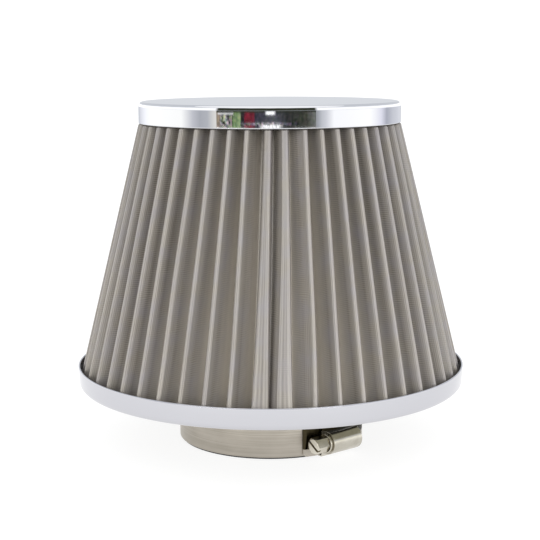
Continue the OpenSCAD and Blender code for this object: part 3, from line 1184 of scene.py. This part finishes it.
    def housing_piece(self, name: str, path: Array, length: float, painted_shade: float = 0.0) -> Piece:
        """A folded stretch of the housing, from its head end.

        Args:
            name: the piece's name.
            path: middle of its sheet, out from the screw's axis and up from it.
            length: how far it runs.
            painted_shade: share of painted shade on it, from 0 to 1.

        Returns:
            The piece, with softened edges.
        """
        outline = thickened(path, self.housing_t)
        x = np.array([[0.0], [length]]) - self.housing_l / 2
        stations = self.on_screw(x, outline[None, :, 0], outline[None, :, 1])
        piece = extruded(name, stations, np.full(2 * len(outline), painted_shade))
        soften(piece, *self.sheet_edge)
        return piece

    def housing_shells(self) -> tuple[Piece, ...]:
        """The half barrel over the screw, and the two legs that fold over the band from its feet.

        Returns:
            The three pieces.
        """
        t, fold_r = self.housing_t, self.fold_r
        barrel = self.barrel_r - t / 2
        deck = self.deck_r + t / 2 - self.screw_r
        dome = arc((0, 0), barrel, 90, -90, 36)
        path = np.concatenate([[(deck - t / 2, barrel)], dome, [(deck - t / 2, -barrel)]])
        leg_up = self.band_w / 2 + self.leg_gap + t / 2
        leg = np.concatenate([
            [(deck, barrel - t / 2)],
            arc((deck - fold_r, leg_up - fold_r), fold_r, 0, 90, 6),
            [(self.neck_r + self.leg_gap - self.screw_r, leg_up)],
        ])
        return (
            self.housing_piece("housing_barrel", path, self.housing_l),
            # The upper leg is wholly covered in painted shade, for the shade under the pan.
            self.housing_piece("housing_leg_upper", leg, self.leg_l, 1.0),
            self.housing_piece("housing_leg_lower", leg * [1, -1], self.leg_l),
        )

    def spun(
        self, name: str, x: Array, r: Array, a: Array, wrap: bool = False, sharp_deg: float = 35.0
    ) -> Piece:
        """A surface about the screw's axis: radius times the cosine and sine of the angle, ring by ring.

        Args:
            name: the piece's name.
            x: each ring's place along the screw.
            r: radius of each ring, or of each of its points.
            a: the points' angles round the screw.
            wrap: whether the last ring joins the first.
            sharp_deg: edges that bend more than this stay sharp.

        Returns:
            The piece.
        """
        points = self.on_screw(x, r * np.cos(a), r * np.sin(a))
        return mesh_object(name, points, [grid_faces(*points.shape[:2], wrap, True)], sharp_deg=sharp_deg)

    def housing_wall(self, name: str, x: float) -> Piece:
        """One end wall: a ring from the bearing hole out to the barrel, flat along the deck.

        Args:
            name: the piece's name.
            x: where it starts along the screw.

        Returns:
            The piece.
        """
        a = np.radians(np.arange(0, 360, 5))
        reach = self.barrel_r - self.housing_t
        low = self.screw_r - self.deck_r
        box = np.minimum(reach / np.maximum(np.abs(np.sin(a)), 1e-6), low / np.maximum(-np.cos(a), 1e-6))
        rim = np.where(np.cos(a) >= 0, reach, box)
        hole = np.full_like(a, self.journal_r + self.hole_gap)
        bevel = self.hole_bevel
        radii = np.stack([hole, hole + bevel, rim, rim, hole + bevel, hole])
        depth = np.array([bevel, 0, 0, 1, 1, 1 - bevel])[:, None] * self.end_wall_t
        return self.spun(name, x + depth, radii, a, wrap=True)

    def screw_head(self) -> Piece:
        """The hexagon head: hexagon radius at every angle, trimmed by a cone, with a driving slot.

        A bar as wide as the slot, laid across the head's end and turned with it, is cut away from the head.

        Returns:
            The piece, with softened edges.
        """
        base = -self.housing_l / 2 - self.shoulder_gap - self.collar_t
        end = base - self.head_l
        a = np.radians(np.arange(0, 360, 2.5))
        flat = self.head_af / 2
        hexagon = flat / np.cos(np.mod(a, math.pi / 3) - math.pi / 6)
        face_r = flat * self.head_face
        chamfer = end + (hexagon - face_r) * math.tan(math.radians(self.head_chamfer))
        zero = np.zeros_like(a)
        x = np.stack([zero + base, zero + base, chamfer, zero + end, zero + end])
        r = np.stack([zero, hexagon, hexagon, zero + face_r, zero])
        head = self.spun("screw_head", x, r, a - math.radians(self.head_turn), sharp_deg=25)
        half_w, reach = self.drive_slot_w / 2, self.head_af
        turn = math.radians(-self.head_turn - 30)
        c, s = math.cos(turn), math.sin(turn)
        square = np.array([(-reach, -half_w), (reach, -half_w), (reach, half_w), (-reach, half_w)])
        square = square @ np.array([[c, s], [-s, c]])
        bar_x = np.array([end - 1, end + self.drive_slot_depth])[:, None]
        bar = extruded("slot_cutter", self.on_screw(bar_x, square[None, :, 0], square[None, :, 1]))
        cut = head.modifiers.new("slot", "BOOLEAN")
        cut.object, cut.operation, cut.solver = bar, "DIFFERENCE", "EXACT"
        solved = head.evaluated_get(bpy.context.evaluated_depsgraph_get())
        mesh = bpy.data.meshes.new_from_object(solved)
        head.modifiers.clear()
        head.data = mesh
        bpy.data.objects.remove(bar)
        mesh.set_sharp_from_angle(angle=math.radians(25))
        soften(head, *self.head_edge)
        return head

    def collar(self) -> Piece:
        """The collar behind the head: a dished ring with a rounded rim.

        Returns:
            The piece.
        """
        x0 = -self.housing_l / 2 - self.shoulder_gap
        r, rim_r = self.collar_r, self.rim_r
        front = x0 - self.collar_t
        rim = arc((front + rim_r, r - rim_r), rim_r, 180, 90, 5)
        rear = arc((x0 - rim_r, r - rim_r), rim_r, 90, 0, 5)
        dished = [(front + self.dish, 0), (front + self.dish, r - 1.0)]
        profile = np.concatenate([dished, rim, rear, [(x0, 0)]])
        a = np.linspace(0, TURN, 96, endpoint=False)
        return self.spun("screw_collar", profile[:, :1], profile[:, 1:], a)

    def worm(self) -> Piece:
        """The worm and journals.

        The thread's radius follows the place along the screw, in pitches, less the angle's share of a turn.

        Returns:
            The piece.
        """
        wall = self.housing_l / 2 - self.end_wall_t - self.shoulder_gap
        pitch = math.radians(self.slot_pitch) * (self.band_r + self.tail_lift + self.band_t)
        x = np.linspace(-wall, wall, 200)[:, None]
        a = np.linspace(0, TURN, 64, endpoint=False)[None, :]
        phase = np.mod(x / pitch - a / TURN, 1)
        ridge = np.clip(1.6 - 4.2 * np.abs(phase - 0.5), 0, 1)
        run_out = np.clip((wall - np.abs(x)) / 0.5, 0, 1)
        radius = self.core_r + self.thread_h * ridge * run_out
        ends, journal, bevel = self.housing_l / 2 + self.shoulder_gap, self.journal_r, self.rim_r
        left = np.array([[-ends, 0.0], [-ends, journal], [-wall, journal]])
        right = np.array([[wall, journal], [ends - bevel, journal], [ends, journal - bevel], [ends, 0.0]])
        xs = np.concatenate([left[:, :1], x, right[:, :1]])
        rs = np.concatenate([left[:, 1:] + 0 * a, radius, right[:, 1:] + 0 * a])
        return self.spun("screw_worm", xs, rs, a)

    def build(self, strip: WorkedSteel, pressed: WorkedSteel, bar: WorkedSteel) -> None:
        """Makes the clamp.

        Args:
            strip: finish of the band.
            pressed: finish of the housing.
            bar: finish of the screw.
        """
        rolled, folded, turned = (
            steel.material(name)
            for steel, name in ((strip, "brushed_strip"), (pressed, "pressed_housing"), (bar, "plated_bar"))
        )
        for part in (self.band_turn(), self.band_tail()):
            finish(part, FILTER, rolled, "clamp_band")
        half = self.housing_l / 2
        walls = (
            self.housing_wall("housing_wall_head", -half),
            self.housing_wall("housing_wall_end", half - self.end_wall_t),
        )
        for part in (*self.housing_shells(), *walls):
            finish(part, FILTER, folded, "clamp_housing")
        for part in (self.screw_head(), self.collar(), self.worm()):
            finish(part, SCREW, turned, "clamp_screw")


# The studio


@dataclass
class Studio:
    """Pale floor, an even white surround, soft lights, reflection cards and the camera."""

    distance: float = 589.8
    height: float = 172.95
    pitch_rad: float = 0.163
    roll_rad: float = -0.004
    focal_px: float = 1321.2
    middle_px: float = 270.3
    picture_px: float = 540.0
    sensor: float = 36.0
    floor_r: float = 4000.0
    light_m: float = 0.7
    aim_m: float = 0.08
    daylight: float = 1.13

    def camera(self) -> None:
        """Places the camera from the fit of the object's outlines in the picture."""
        data = bpy.data.cameras.new("camera")
        data.sensor_width = self.sensor
        data.lens = self.focal_px * self.sensor / self.picture_px
        data.shift_x = (self.picture_px / 2 - self.middle_px) / self.picture_px
        camera = bpy.data.objects.new("camera", data)
        camera.location = (0, -self.distance * MM, self.height * MM)
        camera.rotation_mode = "ZXY"
        camera.rotation_euler = (math.pi / 2 - self.pitch_rad, 0, self.roll_rad)
        bpy.context.scene.collection.objects.link(camera)
        bpy.context.scene.camera = camera

    def floor(self) -> None:
        """A wide pale disc that the filter stands on, with its faces up."""
        profile = np.column_stack([np.linspace(0, self.floor_r, 12), np.zeros(12)])
        disc = revolve("floor", profile, 96, closed=False)
        disc.data.materials.append(PaintedBoard().material("pale_floor"))
        if disc.data.polygons[0].normal.z < 0:
            disc.data.flip_normals()

    def soft_box(self, name: str, place: tuple[float, float, float], power: float, warmth: str) -> None:
        """A large area light that looks at the filter's middle: tilted from straight down, then turned.

        Args:
            name: the light's name.
            place: its middle, in metres.
            power: watts.
            warmth: its colour.
        """
        data = bpy.data.lights.new(name, "AREA")
        data.size, data.energy, data.color = self.light_m, power, linear(warmth)[:3]
        light = bpy.data.objects.new(name, data)
        light.location = place
        target = np.array([0, 0, self.aim_m]) - np.array(place)
        x, y, z = target / np.linalg.norm(target)
        light.rotation_euler = (math.acos(-z), 0.0, math.atan2(-x, y))
        bpy.context.scene.collection.objects.link(light)

    def surround(self) -> None:
        """An even white world, slightly dimmer overhead."""
        world = bpy.data.worlds.new("surround")
        world.use_nodes = True
        tree = world.node_tree
        tree.nodes.clear()
        height = add(tree, "SeparateXYZ", {0: add(tree, "TexCoord", out="Generated")}, out=2)
        shades = ((0.04, "#FFFFFF"), (0.16, "#FAFBFC"), (1.0, "#F0F1F3"))
        colour = add(tree, "ValToRGB", {0: height}, shades)
        light = add(tree, "Background", {"Color": colour, "Strength": self.daylight})
        add(tree, "OutputWorld", {"Surface": light})
        bpy.context.scene.world = world

    def cards(self) -> tuple[ReflectionCard, ...]:
        """The cards that polished metal sees.

        They are bright sides, a dim room with a lit sill and lamp at the front, a dark brow, a back, a pale
        upper ring and ceiling, a strip close round the cap's edge, and two rings under the pan's floor,
        darker towards the neck, where little light comes.

        Returns:
            The cards.
        """
        left = ((-154, "#BEC0C8"), (-131, "#F2F3F6"), (-118, "#FFFFFC"), (-78, "#FAFAF6"),
                (-66, "#BEBFC4"), (-59, "#A8AAAF"), (-52, "#B0B2B6"), (-45.5, "#D8D6D0"))
        right = ((39.2, "#9A9CA0"), (43, "#BCBEC2"), (47, "#CDCED2"), (54, "#F8F8F8"), (92, "#FFFFFC"),
                 (100, "#F0F0F2"), (108, "#DCDCE6"), (117, "#A8AAB4"), (130, "#C0C2C8"), (154, "#C8CAD0"))
        room = ((-45.5, "#C8B8A8"), (-42, "#A89484"), (-40, "#4A4A44"), (-31, "#3C3E38"), (-29.5, "#84A06C"),
                (-24, "#9CB484"), (-23, "#34342F"), (-21, "#3C3038"), (-20, "#8A2C3C"), (-13, "#84303E"),
                (-11.5, "#40404C"), (4, "#5C5E66"), (14, "#3C3E3C"), (30, "#484A40"), (39.2, "#8C8E8A"))
        bench = ((-9, "#4C4C54"), (-5, "#FFFFFF"), (7, "#FFFFFF"), (11, "#3C3E3C"))
        leaves = ((-41, "#B0B0A8"), (-31, "#B0B4A8"))
        shelf = ((-24, "#70787C"), (-10, "#A0A0A6"), (6, "#D8D8DC"), (12, "#70727A"), (24, "#3C3E3C"))
        lamp = ((-4, "#4C4C54"), (-2, "#FFFFFF"), (3, "#FFFFFF"), (5, "#4C4C54"))
        lip = ((-180, "#BABCC1"), (-90, "#BABCC1"), (-84, "#FFFFFF"), (-21.5, "#FFFFFF"), (-21.2, "#33362C"),
               (18.8, "#33362C"), (19.1, "#FFFFFF"), (84, "#FFFFFF"), (90, "#BABCC1"), (180, "#BABCC1"))
        upper = ((-180, "#D4D7DC"), (-153, "#D4D7DC"), (-146, "#DCDFE4"), (146, "#DCDFE4"), (153, "#D4D7DC"),
                 (180, "#D4D7DC"))
        sill = ((-45.5, "#FFFFFF"), (-8, "#F0F4EC"), (10, "#A8A8A4"), (39.2, "#A8A8A4"))
        brow = ((-45.5, "#3E4236"), (39.2, "#3A3D34"))
        front, round_about = (-45.5, 39.2), (-180, 180)
        rows = (
            ("card_left", (-154, -44), (802, 1), (700, 150), left, 1.5),
            ("card_right", (38, 154), (802, 1), (700, 150), right, 1.5),
            ("card_back", (153, 207), (804, 1), (702, 150), "#DDE0E6"),
            ("card_upper", round_about, (702, 147), (354, 650), upper, 1.1),
            ("card_ceiling", round_about, (356, 649), (1, 649), "#FFFFFF", 1.3),
            ("card_brow", front, (798, 116.4), (704, 150), brow),
            ("card_room", front, (800, 100), (800, 118.4), room, 1.0, 0.33, (34.0, 3.5)),
            ("card_sill", front, (796, 100.2), (796, 101.3), sill, 1.3, 0.2),
            ("card_bench", (-9, 11), (794, 101.4), (794, 105.2), bench, 1.5, 0.7, (26.0, 2.4)),
            ("card_shelf", (-24, 24), (792, 104.8), (792, 107), shelf, 0.9, 1.2, (30.0, 2.0)),
            ("card_leaves", (-41, -31), (792, 101.4), (792, 114.6), leaves, 0.8, 1.4, (40.0, 3.5)),
            ("card_lamp", (-4, 5), (792, 114.6), (792, 117.8), lamp, 1.8),
            ("card_frame", (-43, -29.5), (792, 115.0), (792, 116.3), "#FFFFFF", 1.3),
            ("card_lip", round_about, (58.3, 150.05), (58.3, 151.9), lip, 1.5),
            # card_under and card_rim are painted shade: dark rings seen only in reflections, standing in for
            # the shade under the pan.
            ("card_under", round_about, (51, 25.3), (43.5, 25.3), "#1E1D18"),
            ("card_rim", round_about, (84, 25.3), (51, 25.3), "#9C9A8A"),
        )
        return tuple(ReflectionCard(*row) for row in rows)

    def build(self) -> None:
        """Sets up camera, floor, surround, cards and lights."""
        self.camera()
        self.floor()
        self.surround()
        for card in self.cards():
            card.build()
        self.soft_box("key", (-0.72, -1.1, 0.4), 5.0, "#FFFDF8")
        self.soft_box("fill", (0.76, -1.1, 0.4), 6.2, "#FFFFFF")
        view = bpy.context.scene.view_settings
        view.view_transform, view.look = "Standard", "None"


def main() -> None:
    """Builds the studio, then the filter from cap to clamp."""
    logging.basicConfig(level=logging.INFO, format="%(message)s")
    Studio().build()
    EndCap().build(ChromePlate(), CastElastomer("#4A4A48", "#2A2A29"))
    PleatedPack().build(WireCloth(), CottonGauze())
    SupportCone().build(WorkedSteel("#C6C9CC", "#9A9DA0", Lay.SPUN, (0.35, 0.5)))
    BasePan().build(ChromePlate(tint="#CBCBD0"), CastElastomer("#3E3E3C", "#262625"))
    Neck().build(CastElastomer("#2C2C2C", "#181818"))
    WormClamp().build(
        WorkedSteel("#B2ABA1", "#9E988D", Lay.AROUND, (0.27, 0.38), anisotropy=0.5),
        WorkedSteel("#CFCBC0", "#B5B0A4", Lay.SPUN, (0.16, 0.26)),
        WorkedSteel("#DAD5C8", "#B8B2A4", Lay.SPUN, (0.14, 0.26)),
    )


if __name__ == "__main__":
    main()
